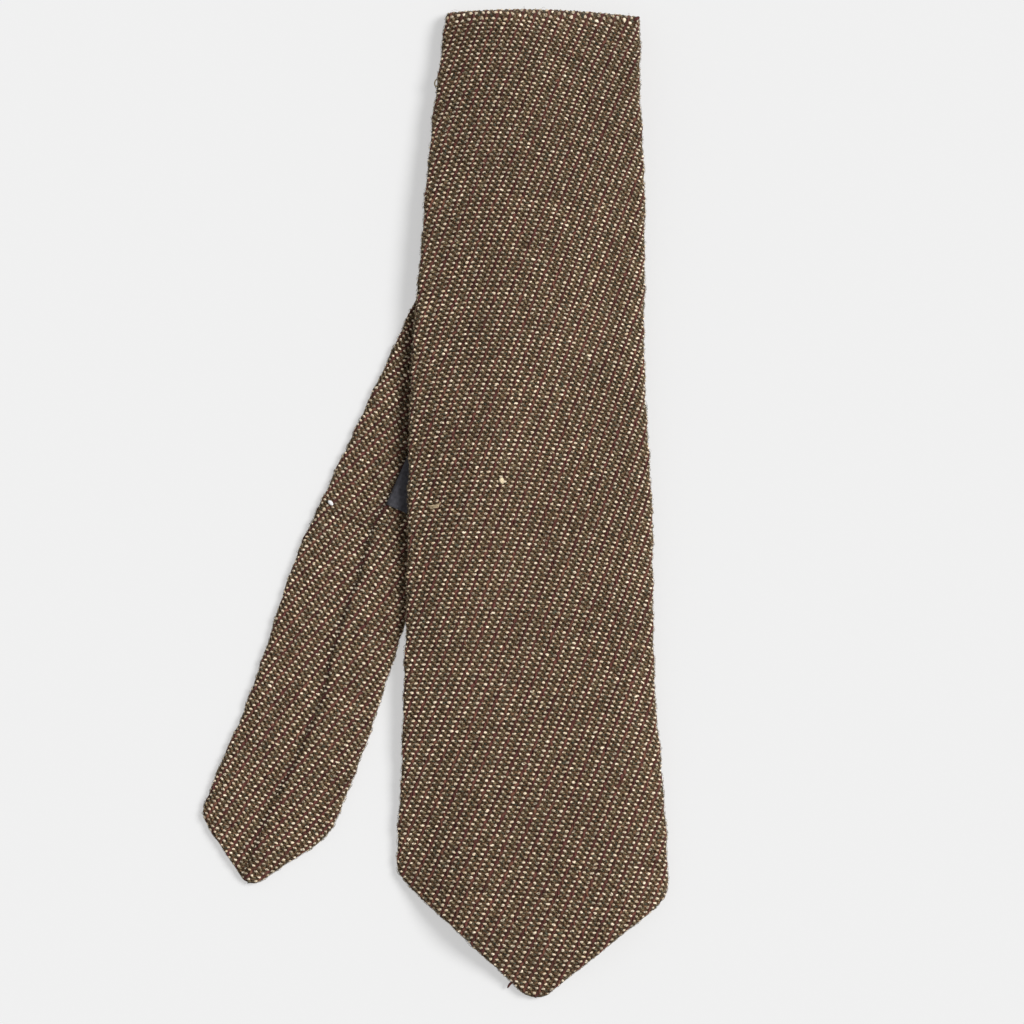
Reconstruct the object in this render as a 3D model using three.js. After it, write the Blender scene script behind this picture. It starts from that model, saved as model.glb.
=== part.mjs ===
import * as THREE from 'three';

// Knit wool tie, folded up and lying flat. Millimetres, +Z up, floor at z = 0.
// The tie is one long strip. A point of it has a place s along the tie from the blade's tip,
// a place t across it, to the right as seen from the front face at the blade, and a depth h,
// from the back face, below 0, to the front face, above 0. Creases turn the strip over.

// Sizes of the strip
const cloth_thickness = 3.2;
const blade_width = 95;
const neck_width = 37;
const tail_width = 45.5;
const blade_length = 346.8;
const down_length = 317.3;
const up_length = 300.2;
const tail_length = 311.3;

// How it lies
const ply_gap = 0.5;
const neck_lean = THREE.MathUtils.degToRad(3.1);
const tail_lean = THREE.MathUtils.degToRad(22.2);
const drape_margin = 2;
const drape_reach = 30;
const top_bow = 2.6;
const bow_crest = 0.044;
const bow_reach = 40;

// Pointed ends
const blade_tip_radius = 7.3;
const blade_tip_offset = 1.6;
const blade_slope_left = 1.07;
const blade_slope_right = 1.24;
const blade_corner = 5;
const tail_tip_radius = 4.5;
const tail_tip_offset = 1.7;
const tail_slope_left = 1.5;
const tail_slope_right = 0.69;
const tail_corner = 7;
const tip_trim = 0.15;

// Centre seam on the back, and the slanted seams that join the three pieces
const groove_depth = 0.8;
const groove_half_width = 1.5;
const blade_seam_end = 70;
const tail_seam_end = 33;
const piece_gap = 0.3;
const neck_from_blade = 585;
const tail_from_end = 400;
const seam_slope = 1;

// Care label in the tail's centre seam
const label_width = 18;
const label_length = 38;
const label_thickness = 1;
const label_from_tip = 141.5;
const label_gap = 0.3;
const label_corner = 1;
const label_reach = 16;

// Fineness of the mesh
const coarse_step = 14;
const fine_step = 7;
const fine_reach = 36;
const tip_reach = 58;
const close_share = 0.35;
const slant_hold = 10;
const edge_share = 0.6;
const side_shares = [0.2, 0.4, 0.6, 0.8, 1];
const bend_shares = [-1, -0.75, -0.5, -0.25, 0, 0.25, 0.5, 0.75, 1];
const nose_shares = [0.05, 0.16, 0.4, 0.8, 1.3];
const edge_angles = [Math.PI / 4, 0, -Math.PI / 4];

const total_length = blade_length + down_length + up_length + tail_length;
const pitch = cloth_thickness + ply_gap;
const bend_radius = pitch / 2;
const half_bend = Math.PI * bend_radius / 2;

// The four lengths between creases. Each row gives the two edges, measured from the line
// t = 0, at a share of its length.
const lengths = [
	{ start: 0, size: blade_length, rows: [
		{ at: 0.000, left: 0.501 * blade_width, right: 0.503 * blade_width },
		{ at: 0.137, left: 0.500 * blade_width, right: 0.502 * blade_width },
		{ at: 0.236, left: 0.481 * blade_width, right: 0.479 * blade_width },
		{ at: 0.307, left: 0.474 * blade_width, right: 0.456 * blade_width },
		{ at: 0.402, left: 0.463 * blade_width, right: 0.448 * blade_width },
		{ at: 0.489, left: 0.458 * blade_width, right: 0.446 * blade_width },
		{ at: 0.585, left: 0.452 * blade_width, right: 0.425 * blade_width },
		{ at: 0.656, left: 0.441 * blade_width, right: 0.415 * blade_width },
		{ at: 0.747, left: 0.413 * blade_width, right: 0.417 * blade_width },
		{ at: 0.832, left: 0.388 * blade_width, right: 0.415 * blade_width },
		{ at: 0.917, left: 0.355 * blade_width, right: 0.399 * blade_width },
	] },
	{ start: blade_length, size: down_length, rows: [
		{ at: 0.00, left: 0.319 * blade_width, right: 0.398 * blade_width },
		{ at: 0.35, left: 0.265 * blade_width, right: 0.340 * blade_width },
		{ at: 0.70, left: 0.560 * neck_width, right: 0.740 * neck_width },
	] },
	{ start: blade_length + down_length, size: up_length, rows: [
		{ at: 0.00, left: 0.500 * neck_width, right: 0.640 * neck_width },
		{ at: 0.50, left: 0.480 * neck_width, right: 0.540 * neck_width },
	] },
	{ start: total_length - tail_length, size: tail_length, rows: [
		{ at: 0.000, left: 0.490 * neck_width, right: 0.490 * neck_width },
		{ at: 0.323, left: 0.467 * tail_width, right: 0.402 * tail_width },
		{ at: 0.461, left: 0.512 * tail_width, right: 0.388 * tail_width },
		{ at: 0.602, left: 0.563 * tail_width, right: 0.387 * tail_width },
		{ at: 0.654, left: 0.567 * tail_width, right: 0.401 * tail_width },
		{ at: 0.737, left: 0.525 * tail_width, right: 0.445 * tail_width },
		{ at: 0.814, left: 0.495 * tail_width, right: 0.480 * tail_width },
		{ at: 0.894, left: 0.505 * tail_width, right: 0.485 * tail_width },
		{ at: 1.000, left: 0.503 * tail_width, right: 0.485 * tail_width },
	] },
];

// The three creases: where each lies and how far it is turned from square across the strip.
const creases = [
	{ at: lengths[1].start, turn: 0 },
	{ at: lengths[2].start, turn: -neck_lean / 2 },
	{ at: lengths[3].start, turn: (tail_lean - neck_lean) / 2 },
];

const edge_rows = lengths.flatMap((length) => length.rows.map((row) => ({
	s: length.start + row.at * length.size, left: row.left, right: row.right,
})));

function smooth(x) {
	const held = Math.min(1, Math.max(0, x));
	return held * held * (3 - 2 * held);
}

// Smooth curve through the rows of a table, read at s
function read_rows(rows, column, s) {
	const last = rows.length - 1;
	const held = Math.min(rows[last].s, Math.max(rows[0].s, s));
	let i = 0;
	while (i < last - 1 && rows[i + 1].s < held) {
		i += 1;
	}
	const slope = (a, b) => (rows[b][column] - rows[a][column]) / (rows[b].s - rows[a].s);
	const span = rows[i + 1].s - rows[i].s;
	const u = (held - rows[i].s) / span;
	const leave = slope(Math.max(0, i - 1), i + 1) * span;
	const arrive = slope(i, Math.min(last, i + 2)) * span;
	const u2 = u * u;
	const u3 = u2 * u;
	return (2 * u3 - 3 * u2 + 1) * rows[i][column] + (u3 - 2 * u2 + u) * leave
		+ (3 * u2 - 2 * u3) * rows[i + 1][column] + (u3 - u2) * arrive;
}

// Half-width of a pointed end on one side, x from its rounded nose, a circle and then a line
function nose(x, slope, radius) {
	const sine = slope / Math.hypot(1, slope);
	const cut = radius * (1 / sine - 1);
	const meet = radius * (1 - sine);
	if (x < meet) {
		return Math.sqrt(Math.max(0, 2 * radius * x - x * x));
	}
	return slope * (x + cut);
}

function soft_min(a, b, radius) {
	const near = Math.max(0, radius - Math.abs(a - b)) / radius;
	return Math.min(a, b) - near * near * radius / 4;
}

// The two edges of the strip at s, as places t
function edges(s) {
	const body_left = read_rows(edge_rows, 'left', s);
	const body_right = read_rows(edge_rows, 'right', s);
	const on_blade = s < total_length / 2;
	const x = Math.max(0, on_blade ? s : total_length - s);
	const radius = on_blade ? blade_tip_radius : tail_tip_radius;
	const offset = on_blade ? blade_tip_offset : tail_tip_offset;
	const corner = on_blade ? blade_corner : tail_corner;
	const left = nose(x, on_blade ? blade_slope_left : tail_slope_left, radius) - offset;
	const right = nose(x, on_blade ? blade_slope_right : tail_slope_right, radius) + offset;
	return {
		left: -soft_min(body_left, left, corner),
		right: soft_min(body_right, right, corner),
	};
}

// Where each length lies in plan: a start point, and unit vectors along and across it
function lay_lengths() {
	const lays = [{
		origin: new THREE.Vector2(0, 0),
		along: new THREE.Vector2(0, 1),
		across: new THREE.Vector2(1, 0),
	}];
	creases.forEach((crease) => {
		const { origin, along, across } = lays[lays.length - 1];
		const normal = along.clone().multiplyScalar(Math.cos(crease.turn))
			.addScaledVector(across, Math.sin(crease.turn));
		crease.normal = normal;
		crease.start = origin.clone().addScaledVector(along, crease.at - half_bend);
		const flip = (vector) => vector.clone().addScaledVector(normal, -2 * vector.dot(normal));
		lays.push({
			origin: flip(origin.clone().sub(crease.start)).add(crease.start)
				.addScaledVector(normal, 2 * half_bend),
			along: flip(along),
			across: flip(across),
		});
	});
	return lays;
}

const lays = lay_lengths();

function plan_point(index, s, t) {
	const { origin, along, across } = lays[index];
	return origin.clone().addScaledVector(along, s).addScaledVector(across, t);
}

// How far a plan point lies past a crease, and outside the footprint of a length
function past_crease(crease, point) {
	return point.clone().sub(crease.start).dot(crease.normal);
}

function outside(index, point) {
	const { origin, along, across } = lays[index];
	const from_origin = point.clone().sub(origin);
	const s = from_origin.dot(along);
	const t = from_origin.dot(across);
	const { left, right } = edges(Math.min(s, total_length - tip_reach));
	const side = Math.max(0, left - t, t - right);
	const bend = bend_radius + cloth_thickness / 2;
	const before = index > 1 ? past_crease(creases[index - 1], point) - bend : 0;
	const after = index < 3 ? past_crease(creases[index], point) - bend : s - total_length;
	return Math.hypot(side, Math.max(0, before, after));
}

// Share of its own thickness by which a length lifts what lies over it, 1 on it and 0 far away
function cover(index, point) {
	return 1 - smooth((outside(index, point) - drape_margin) / drape_reach);
}

const label_s = total_length - label_from_tip;
const seam_t = (s) => (edges(s).left + edges(s).right) / 2;
const label_low = plan_point(3, label_s, seam_t(label_s));
const label_high = plan_point(3, label_s - label_length, seam_t(label_s - label_length));
const label_along = label_high.clone().sub(label_low).normalize();
const label_across = new THREE.Vector2(label_along.y, -label_along.x);

function label_cover(point) {
	const from_low = point.clone().sub(label_low);
	const along = from_low.dot(label_along);
	const across = from_low.dot(label_across);
	const distance = Math.hypot(Math.max(0, -along, along - label_length),
		Math.max(0, -across, across - label_width));
	return 1 - smooth((distance - drape_margin) / label_reach);
}

// Height of the middle of a length over the floor, on all the lengths that lie below it
function lay_height(index, point) {
	let height = cloth_thickness / 2;
	for (let below = index + 1; below < lengths.length; below += 1) {
		height += pitch * cover(below, point);
	}
	if (index < lengths.length - 1) {
		height += (label_thickness + label_gap) * label_cover(point);
	}
	return height;
}

// The top crease bows: its ends lie a little lower in plan than its crest
function bow(t, y) {
	const corner = lengths[1].rows[0].right;
	const crest = -bow_crest * blade_width;
	const share = (t - crest) / (corner - crest);
	return top_bow * share * share * smooth((y - blade_length + bow_reach) / bow_reach);
}

// A point of the strip, folded up, in space
function place(s, t, h) {
	const past = (index) => past_crease(creases[index], plan_point(index, s, t));
	let index = 0;
	while (index < creases.length && past(index) >= 2 * half_bend) {
		index += 1;
	}
	const point = plan_point(index, s, t);
	const face = index % 2 === 0 ? 1 : -1;
	const bend = index < creases.length ? Math.max(0, past(index)) : 0;
	let z;
	if (bend > 0) {
		const radius = bend_radius + face * h;
		const angle = bend / bend_radius;
		point.addScaledVector(creases[index].normal, radius * Math.sin(angle) - bend);
		z = lay_height(index + 1, point) + bend_radius + radius * Math.cos(angle);
	} else {
		z = lay_height(index, point) + face * h;
	}
	if (index < 2) {
		point.y -= bow(t, point.y);
	}
	return new THREE.Vector3(point.x, point.y, z);
}

// Slants of the cross-sections: along each crease, and along the two piece seams
const slants = [
	{ s: 0, slope: 0 },
	{ s: creases[0].at, slope: -Math.tan(creases[0].turn) },
	{ s: neck_from_blade, slope: seam_slope },
	{ s: creases[1].at, slope: -Math.tan(creases[1].turn) },
	{ s: total_length - tail_from_end, slope: seam_slope },
	{ s: creases[2].at, slope: -Math.tan(creases[2].turn) },
	{ s: total_length, slope: 0 },
];

function slant(s) {
	const next = Math.max(1, slants.findIndex((row) => row.s >= s));
	const from = slants[next - 1];
	const to = slants[next];
	const share = smooth((s - from.s - slant_hold) / (to.s - from.s - 2 * slant_hold));
	return from.slope + (to.slope - from.slope) * share;
}

// Ring of points round the strip at s: the front from left to right, then the back
function section(s) {
	const lean = slant(s);
	const { left, right } = edges(s);
	const half = (right - left) / 2;
	const edge = Math.min(cloth_thickness / 2, edge_share * half);
	const rounding = Math.min(1, 2 * Math.min(s, total_length - s) / cloth_thickness);
	const depth = cloth_thickness / 2 * Math.sqrt(rounding * (2 - rounding));
	const flat = half - edge;
	const groove = Math.min(groove_half_width, side_shares[0] * flat / 2);
	const seamed = smooth((s - blade_seam_end) / groove_half_width)
		* smooth((total_length - tail_seam_end - s) / groove_half_width);
	const outer = side_shares.map((share) => share * flat);
	const across = [...outer.map((t) => -t).reverse(), -groove, 0, groove, ...outer];
	const points = [];
	const add = (t, h) => {
		const slid = s + lean * ((left + right) / 2 + t);
		const there = edges(slid);
		const stretch = (there.right - there.left) / (right - left);
		points.push(place(slid, (there.left + there.right) / 2 + t * stretch, h));
	};
	across.forEach((t) => add(t, depth));
	edge_angles.forEach((angle) => add(flat + edge * Math.cos(angle), depth * Math.sin(angle)));
	across.reverse().forEach((t) => add(t, -depth + (t === 0 ? groove_depth * seamed : 0)));
	edge_angles.forEach((angle) => add(-flat - edge * Math.cos(angle), -depth * Math.sin(angle)));
	return points;
}

// Places of the sections of a piece: close together round creases and pointed ends
function stations(from, to) {
	const bends = creases.flatMap((crease) => bend_shares.map((share) => crease.at + share * half_bend));
	const noses = nose_shares.flatMap((share) => [
		share * blade_tip_radius, total_length - share * tail_tip_radius,
	]);
	const marks = [...bends, ...noses, from, to].filter((mark) => mark >= from && mark <= to);
	const fixed = [...new Set(marks)];
	const walked = [];
	let s = from;
	while (s < to) {
		const near_end = Math.min(s, total_length - s) < tip_reach;
		const near_bend = creases.some((crease) => Math.abs(crease.at - s) < fine_reach);
		s += near_end || near_bend ? fine_step : coarse_step;
		walked.push(s);
	}
	const close = close_share * fine_step;
	const clear = (mark) => mark < to && fixed.every((other) => Math.abs(other - mark) > close);
	return [...fixed, ...walked.filter(clear)].sort((a, b) => a - b);
}

// Closed skin over a row of rings that all have the same number of points
function skin(rings) {
	const size = rings[0].length;
	const positions = rings.flat().flatMap((point) => [point.x, point.y, point.z]);
	const faces = [];
	for (let ring = 0; ring < rings.length - 1; ring += 1) {
		for (let i = 0; i < size; i += 1) {
			const a = ring * size + i;
			const b = ring * size + (i + 1) % size;
			faces.push(a, b, a + size, b, b + size, a + size);
		}
	}
	// The two flat ends: strips between front and back points, and a fan at each rounded edge
	const last = (rings.length - 1) * size;
	const close_end = (corners) => {
		for (let i = 1; i < corners.length - 1; i += 1) {
			faces.push(corners[0], corners[i + 1], corners[i]);
			faces.push(last + corners[0], last + corners[i], last + corners[i + 1]);
		}
	};
	const front_count = size / 2 - edge_angles.length;
	const behind = (i) => size - 1 - edge_angles.length - i;
	for (let i = 0; i < front_count - 1; i += 1) {
		close_end([i, i + 1, behind(i + 1), behind(i)]);
	}
	const order = Array.from({ length: size }, (_, i) => i);
	close_end(order.slice(front_count - 1, size / 2 + 1));
	close_end([...order.slice(behind(0)), 0]);
	const geometry = new THREE.BufferGeometry();
	geometry.setAttribute('position', new THREE.Float32BufferAttribute(positions, 3));
	geometry.setIndex(faces);
	geometry.computeVertexNormals();
	return geometry;
}

const wool = { color: 0x6a5748, roughness: 0.95, metalness: 0 };

function cloth_piece(name, from, to) {
	const rings = stations(from, to).map(section);
	const mesh = new THREE.Mesh(skin(rings), new THREE.MeshStandardMaterial(wool));
	mesh.name = name;
	return mesh;
}

function care_label() {
	const shape = new THREE.Shape();
	shape.moveTo(label_corner, 0);
	shape.lineTo(label_width - label_corner, 0);
	shape.absarc(label_width - label_corner, label_corner, label_corner, -Math.PI / 2, 0);
	shape.absarc(label_width - label_corner, label_length - label_corner, label_corner, 0, Math.PI / 2);
	shape.absarc(label_corner, label_length - label_corner, label_corner, Math.PI / 2, Math.PI);
	shape.absarc(label_corner, label_corner, label_corner, Math.PI, 1.5 * Math.PI);
	const geometry = new THREE.ExtrudeGeometry(shape, {
		depth: label_thickness, bevelEnabled: false, curveSegments: 3,
	});
	const material = new THREE.MeshStandardMaterial({ color: 0x2d2d34, roughness: 0.7, metalness: 0 });
	const mesh = new THREE.Mesh(geometry, material);
	mesh.position.set(label_low.x, label_low.y, cloth_thickness + label_gap);
	mesh.rotation.z = Math.atan2(label_across.y, label_across.x);
	mesh.name = 'care_label';
	return mesh;
}

const seam_gap = piece_gap * Math.hypot(1, seam_slope);
const neck_start = neck_from_blade + seam_gap;
const neck_end = total_length - tail_from_end - seam_gap;
const tie = new THREE.Group();
tie.add(
	cloth_piece('front_blade', tip_trim, neck_from_blade),
	cloth_piece('neck_band', neck_start, neck_end),
	cloth_piece('tail_blade', total_length - tail_from_end, total_length - tip_trim),
	care_label(),
);

// The origin is on the floor, under the middle of the folded tie
const box = new THREE.Box3().setFromObject(tie);
const middle = box.getCenter(new THREE.Vector3());
tie.position.set(-middle.x, -middle.y, -box.min.z);

export default tie;
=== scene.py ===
import math
from collections import namedtuple

import bpy
import numpy as np
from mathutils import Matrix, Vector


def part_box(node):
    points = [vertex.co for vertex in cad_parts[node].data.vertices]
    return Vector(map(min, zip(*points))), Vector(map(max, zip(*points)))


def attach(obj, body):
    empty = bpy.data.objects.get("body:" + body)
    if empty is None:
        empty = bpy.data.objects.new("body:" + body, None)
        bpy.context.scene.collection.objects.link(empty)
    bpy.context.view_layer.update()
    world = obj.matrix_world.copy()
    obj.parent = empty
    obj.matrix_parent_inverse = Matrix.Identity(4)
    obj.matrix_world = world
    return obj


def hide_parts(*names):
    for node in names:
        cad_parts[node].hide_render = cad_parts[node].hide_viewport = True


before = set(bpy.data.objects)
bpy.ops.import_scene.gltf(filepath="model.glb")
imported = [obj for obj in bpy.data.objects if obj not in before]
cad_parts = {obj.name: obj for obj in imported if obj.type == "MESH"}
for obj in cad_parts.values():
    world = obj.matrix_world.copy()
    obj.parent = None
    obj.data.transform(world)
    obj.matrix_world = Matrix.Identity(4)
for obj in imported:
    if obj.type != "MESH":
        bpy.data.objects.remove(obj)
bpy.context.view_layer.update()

# Sizes are in millimetres, as on the tie, and MM turns them into metres
MM = 0.001

# The strip: a point has a place s along it from the blade's tip, t across it and h through it
CLOTH_THICKNESS = 3.2
BLADE_WIDTH = 95
NECK_WIDTH = 37
TAIL_WIDTH = 45.5
BLADE_LENGTH = 346.8
DOWN_LENGTH = 317.3
UP_LENGTH = 300.2
TAIL_LENGTH = 311.3
TOTAL_LENGTH = BLADE_LENGTH + DOWN_LENGTH + UP_LENGTH + TAIL_LENGTH
LOW_CREASE = BLADE_LENGTH + DOWN_LENGTH
TAIL_CREASE = TOTAL_LENGTH - TAIL_LENGTH
CREASE_PLACES = (BLADE_LENGTH, LOW_CREASE, TAIL_CREASE)
NECK_FROM_BLADE = 585
TAIL_START = TOTAL_LENGTH - 400

# How it lies
PLY_GAP = 0.5
PITCH = CLOTH_THICKNESS + PLY_GAP
NECK_LEAN = math.radians(3.1)
TAIL_LEAN = math.radians(22.2)
DRAPE_MARGIN = 2
DRAPE_REACH = 30
TOP_BOW = 2.6
BOW_CREST = 0.044
BOW_REACH = 40
BEND_RADIUS = PITCH / 2
HALF_BEND = math.pi * BEND_RADIUS / 2

# Pointed ends: nose radius, sideways offset, slopes of the two edges, softness of the two corners
BLADE_END = {"radius": 7.3, "offset": 1.6, "left": 1.07, "right": 1.24, "corners": (5, 5)}
TAIL_END = {"radius": 4.5, "offset": 1.7, "left": 1.5, "right": 0.69, "corners": (7, 3)}
TIP_TRIM = 0.15
TIP_REACH = 58
EDGE_SHARE = 0.6
EDGE_LEAST = 0.01

# Care label, from the tail's tip
LABEL_WIDTH = 18
LABEL_LENGTH = 38
LABEL_FROM_TIP = 141.5
LABEL_LIFT = 1.3
LABEL_REACH = 16

# Edges of the strip, left and right of the line t = 0, from one tip to the other
TOP_RIGHT = 0.398
EDGES = (
    # a start, a length and a width, and then shares of them: along, left edge, right edge
    (0, BLADE_LENGTH, BLADE_WIDTH, (
        (0.000, 0.501, 0.503), (0.137, 0.500, 0.502), (0.236, 0.481, 0.479), (0.307, 0.474, 0.456),
        (0.402, 0.463, 0.448), (0.489, 0.458, 0.446), (0.585, 0.452, 0.425), (0.656, 0.441, 0.415),
        (0.747, 0.413, 0.417), (0.832, 0.388, 0.415), (0.917, 0.355, 0.399),
    )),
    (BLADE_LENGTH, DOWN_LENGTH, BLADE_WIDTH, ((0.00, 0.319, TOP_RIGHT), (0.35, 0.265, 0.340))),
    (BLADE_LENGTH, DOWN_LENGTH, NECK_WIDTH, ((0.70, 0.560, 0.740),)),
    (LOW_CREASE, UP_LENGTH, NECK_WIDTH, ((0.00, 0.500, 0.640), (0.50, 0.480, 0.540))),
    (TAIL_CREASE, TAIL_LENGTH, NECK_WIDTH, ((0.00, 0.490, 0.490),)),
    (TAIL_CREASE, TAIL_LENGTH, TAIL_WIDTH, (
        (0.323, 0.467, 0.402), (0.461, 0.512, 0.388), (0.602, 0.563, 0.387), (0.654, 0.567, 0.401),
        (0.737, 0.525, 0.445), (0.814, 0.495, 0.480), (0.894, 0.505, 0.485), (1.000, 0.503, 0.485),
    )),
)
EDGE_S, EDGE_LEFT, EDGE_RIGHT = np.array([
    (start + share * length, left * width, right * width)
    for start, length, width, rows in EDGES
    for share, left, right in rows
]).T


def smooth(x):
    held = np.clip(x, 0, 1)
    return held * held * (3 - 2 * held)


def read_rows(values, s):
    """Smooth curve through the rows of the edge table."""
    last = len(EDGE_S) - 1
    held = np.clip(s, EDGE_S[0], EDGE_S[last])
    i = np.clip(np.searchsorted(EDGE_S, held) - 1, 0, last - 1)

    def slope(a, b):
        return (values[b] - values[a]) / (EDGE_S[b] - EDGE_S[a])

    span = EDGE_S[i + 1] - EDGE_S[i]
    u = (held - EDGE_S[i]) / span
    leave = slope(np.maximum(0, i - 1), i + 1) * span
    arrive = slope(i, np.minimum(last, i + 2)) * span
    return (
        (2 * u**3 - 3 * u**2 + 1) * values[i]
        + (u**3 - 2 * u**2 + u) * leave
        + (3 * u**2 - 2 * u**3) * values[i + 1]
        + (u**3 - u**2) * arrive
    )


def nose(x, slope, radius):
    """Half-width of a pointed end on one side: a circle, then a straight line."""
    sine = slope / math.hypot(1, slope)
    cut = radius * (1 / sine - 1)
    meet = radius * (1 - sine)
    round_part = np.sqrt(np.maximum(0, 2 * radius * x - x * x))
    return np.where(x < meet, round_part, slope * (x + cut))


def soft_min(a, b, radius):
    near = np.maximum(0, radius - np.abs(a - b)) / radius
    return np.minimum(a, b) - near * near * radius / 4


def edges(s):
    """The two edges of the strip at s, as places t."""
    left = read_rows(EDGE_LEFT, s)
    right = read_rows(EDGE_RIGHT, s)
    for end, x in ((BLADE_END, s), (TAIL_END, TOTAL_LENGTH - s)):
        held = np.maximum(0, x)
        near = x < TOTAL_LENGTH / 2
        tip_left = nose(held, end["left"], end["radius"]) - end["offset"]
        tip_right = nose(held, end["right"], end["radius"]) + end["offset"]
        left = np.where(near, soft_min(left, tip_left, end["corners"][0]), left)
        right = np.where(near, soft_min(right, tip_right, end["corners"][1]), right)
    return -left, right


def edge_radius(half):
    """Radius of the folded side edges: half the thickness, and less at the tips."""
    return np.clip(EDGE_SHARE * half, EDGE_LEAST, CLOTH_THICKNESS / 2)


def mirrored(vector, normal):
    return vector - 2 * np.dot(vector, normal) * normal


def lay_lengths():
    """Start, direction along and direction across, in plan, of the four lengths, and the creases."""
    lays = [(np.array([0.0, 0.0]), np.array([0.0, 1.0]), np.array([1.0, 0.0]))]
    creases = []
    leans = (0, -NECK_LEAN / 2, (TAIL_LEAN - NECK_LEAN) / 2)
    for at, lean in zip(CREASE_PLACES, leans):
        origin, along, across = lays[-1]
        normal = along * math.cos(lean) + across * math.sin(lean)
        start = origin + along * (at - HALF_BEND)
        origin = mirrored(origin - start, normal) + start + 2 * HALF_BEND * normal
        lays.append((origin, mirrored(along, normal), mirrored(across, normal)))
        creases.append((start, normal))
    return lays, creases


LAYS, CREASES = lay_lengths()
ORIGINS, ALONGS, ACROSSES = (np.array(column) for column in zip(*LAYS))


def plan_point(index, s, t):
    return ORIGINS[index] + s[:, None] * ALONGS[index] + t[:, None] * ACROSSES[index]


def past_crease(number, point):
    start, normal = CREASES[number]
    return (point - start) @ normal


def outside(index, point):
    """How far a plan point lies outside the footprint of a length."""
    origin, along, across = LAYS[index]
    s = (point - origin) @ along
    t = (point - origin) @ across
    left, right = edges(np.minimum(s, TOTAL_LENGTH - TIP_REACH))
    side = np.maximum(0, np.maximum(left - t, t - right))
    bend = BEND_RADIUS + CLOTH_THICKNESS / 2
    before = past_crease(index - 1, point) - bend if index > 1 else np.zeros_like(s)
    after = past_crease(index, point) - bend if index < 3 else s - TOTAL_LENGTH
    return np.hypot(side, np.maximum(0, np.maximum(before, after)))


def middle(s):
    left, right = edges(s)
    return (left + right) / 2


def label_frame():
    ends = TOTAL_LENGTH - LABEL_FROM_TIP - np.array([0, LABEL_LENGTH])
    low, high = plan_point(3, ends, middle(ends))
    along = (high - low) / np.linalg.norm(high - low)
    return low, along, np.array([along[1], -along[0]])


LABEL_LOW, LABEL_ALONG, LABEL_ACROSS = label_frame()


def label_cover(point):
    along = (point - LABEL_LOW) @ LABEL_ALONG
    across = (point - LABEL_LOW) @ LABEL_ACROSS
    beyond = np.maximum(0, np.maximum(-along, along - LABEL_LENGTH))
    beside = np.maximum(0, np.maximum(-across, across - LABEL_WIDTH))
    return 1 - smooth((np.hypot(beyond, beside) - DRAPE_MARGIN) / LABEL_REACH)


def lay_height(index, point):
    """Height of the middle of the cloth over the floor, on the lengths that lie below it."""
    height = np.full(len(point), CLOTH_THICKNESS / 2)
    for below in (1, 2, 3):
        cover = 1 - smooth((outside(below, point) - DRAPE_MARGIN) / DRAPE_REACH)
        height += np.where(index < below, PITCH * cover, 0)
    return height + np.where(index < 3, LABEL_LIFT * label_cover(point), 0)


def bow(t, y):
    corner = TOP_RIGHT * BLADE_WIDTH
    crest = -BOW_CREST * BLADE_WIDTH
    share = (t - crest) / (corner - crest)
    return TOP_BOW * share * share * smooth((y - BLADE_LENGTH + BOW_REACH) / BOW_REACH)


def place(s, t, h):
    """Points of the strip, folded up, in space."""
    index = np.zeros(len(s), int)
    bend = np.zeros(len(s))
    for number in range(len(CREASES)):
        past = past_crease(number, plan_point(number, s, t))
        here = index == number
        index = np.where(here & (past >= 2 * HALF_BEND), number + 1, index)
        bend = np.where(here & (past < 2 * HALF_BEND), np.maximum(0, past), bend)
    bent = bend > 0
    point = plan_point(index, s, t)
    face = np.where(index % 2 == 0, 1, -1)
    radius = BEND_RADIUS + face * h
    angle = bend / BEND_RADIUS
    normals = np.array([normal for _, normal in CREASES] + [(0.0, 0.0)])[index]
    reach = np.where(bent, radius * np.sin(angle) - bend, 0)
    point = point + reach[:, None] * normals
    rest = lay_height(np.where(bent, index + 1, index), point)
    z = rest + np.where(bent, BEND_RADIUS + radius * np.cos(angle), face * h)
    point[:, 1] -= np.where(index < 2, bow(t, point[:, 1]), 0)
    return np.column_stack((point, z))


EDGE_SAMPLES = 400


def corner_shift():
    """From the strip's own start to the frame's origin, from the blade's box."""
    low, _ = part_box("front_blade")
    left, _ = edges(np.linspace(0, BLADE_LENGTH, EDGE_SAMPLES))
    return np.array([low[0] / MM - left.min(), low[1] / MM - TIP_TRIM, 0])


SHIFT = corner_shift()

# Seams
GROOVE_DEPTH = 0.6
GROOVE_WIDTH = 0.7
BLADE_SEAM_END = 70
TAIL_SEAM_END = 33
FRONT, BACK = 1, -1
SEAM_PATH = np.array((
    # from the tail's tip, place t of its centre seam
    (31, -0.8), (47, 0.9), (61, 1.1), (72, 1.3), (83, -1.4), (97, -2.6), (107, -3.2), (113, -2.9),
    (127, -4.9), (133, -5.0), (140, -4.6), (150, -3.6), (160, -2.8), (200, -1.2), (TAIL_LENGTH, 0),
)).T


def seam_t(s):
    """The centre seam: it wanders on the tail, and keeps to the middle on the rest."""
    on_tail = np.interp(TOTAL_LENGTH - s, *SEAM_PATH)
    return np.where(s > TAIL_CREASE, on_tail, middle(s))


def groove(s, t):
    seamed = smooth(s - BLADE_SEAM_END) * smooth(TOTAL_LENGTH - TAIL_SEAM_END - s)
    return GROOVE_DEPTH * seamed * np.exp(-(((t - seam_t(s)) / GROOVE_WIDTH) ** 2))


# The folded side edges: stitches lie flatter there, and the outline waves a little
EDGE_FROM, EDGE_FADE = 0.3, 0.8
EDGE_FLAT = 0.5
EDGE_WAVE = 0.42
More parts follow.
